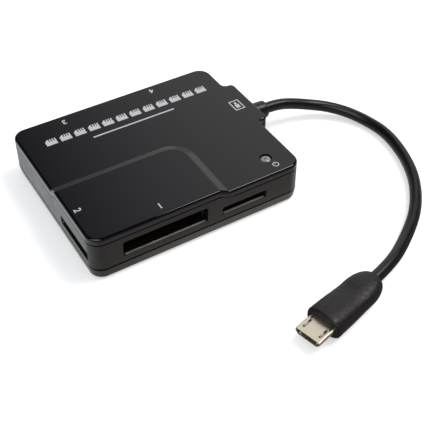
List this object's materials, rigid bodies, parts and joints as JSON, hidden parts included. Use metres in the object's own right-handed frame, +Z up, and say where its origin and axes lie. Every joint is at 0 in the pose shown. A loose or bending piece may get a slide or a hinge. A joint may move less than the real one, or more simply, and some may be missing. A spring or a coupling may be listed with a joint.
{
  "type": "usb memory card reader",
  "caption": "Flat memory card reader: a stepped glossy lid over a slotted frame and a tapered tray, card sockets inside, and a short cord to a small plug.",
  "frame": {"origin": "bottom centre of the reader's box, its cable tab included and its cord left out", "axes": "+X along the front edge towards the cable tab, +Y to the rear, +Z up from the table"},
  "size_m": [0.0973, 0.095, 0.0136],
  "materials": {
    "lid_plastic": "glossy moulded black",
    "frame_plastic": "satin moulded black",
    "tray_plastic": "satin moulded black",
    "board_laminate": "green lacquer over glass cloth",
    "chip_epoxy": "moulded epoxy",
    "plated_can": "drawn and plated",
    "ceramic_tan": "fired",
    "ceramic_dark": "fired and glazed",
    "lamp_resin": "clear cast resin",
    "tinned_wire": "tinned",
    "socket_plastic": "moulded",
    "contact_gold": "gold flash",
    "socket_steel": "stamped sheet",
    "cord_jacket": "satin extruded",
    "boot_rubber": "satin moulded",
    "wire_red": "extruded",
    "wire_white": "extruded",
    "wire_green": "extruded",
    "wire_black": "extruded",
    "grip_rubber": "matte moulded",
    "plug_steel": "plated sheet",
    "latch_steel": "spring sheet",
    "tongue_plastic": "moulded"
  },
  "bodies": {
    "root": {"top_cover": "lid_plastic", "slot_frame": "frame_plastic", "bottom_cover": "tray_plastic", "circuit_board": "board_laminate", "controller_chip": "chip_epoxy", "clock_crystal": "plated_can", "board_capacitors": "ceramic_tan", "board_resistors": "ceramic_dark", "power_lamp": "lamp_resin", "lamp_leads": "tinned_wire", "strain_relief": "boot_rubber", "supply_wire": "wire_red", "first_data_wire": "wire_white", "second_data_wire": "wire_green", "ground_wire": "wire_black", "cord": "cord_jacket", "plug_grip": "grip_rubber", "plug_shell": "plug_steel", "plug_latches": "latch_steel", "plug_tongue": "tongue_plastic", "plug_contacts": "contact_gold", "small_socket_base": "socket_plastic", "small_socket_contacts": "contact_gold", "small_socket_cover": "socket_steel", "left_socket_base": "socket_plastic", "left_socket_contacts": "contact_gold", "left_socket_cover": "socket_steel", "mini_socket_base": "socket_plastic", "mini_socket_contacts": "contact_gold", "mini_socket_cover": "socket_steel", "full_socket_base": "socket_plastic", "full_socket_contacts": "contact_gold", "full_socket_cover": "socket_steel", "wide_socket_base": "socket_plastic", "wide_socket_contacts": "contact_gold"}
  },
  "joints": []
}
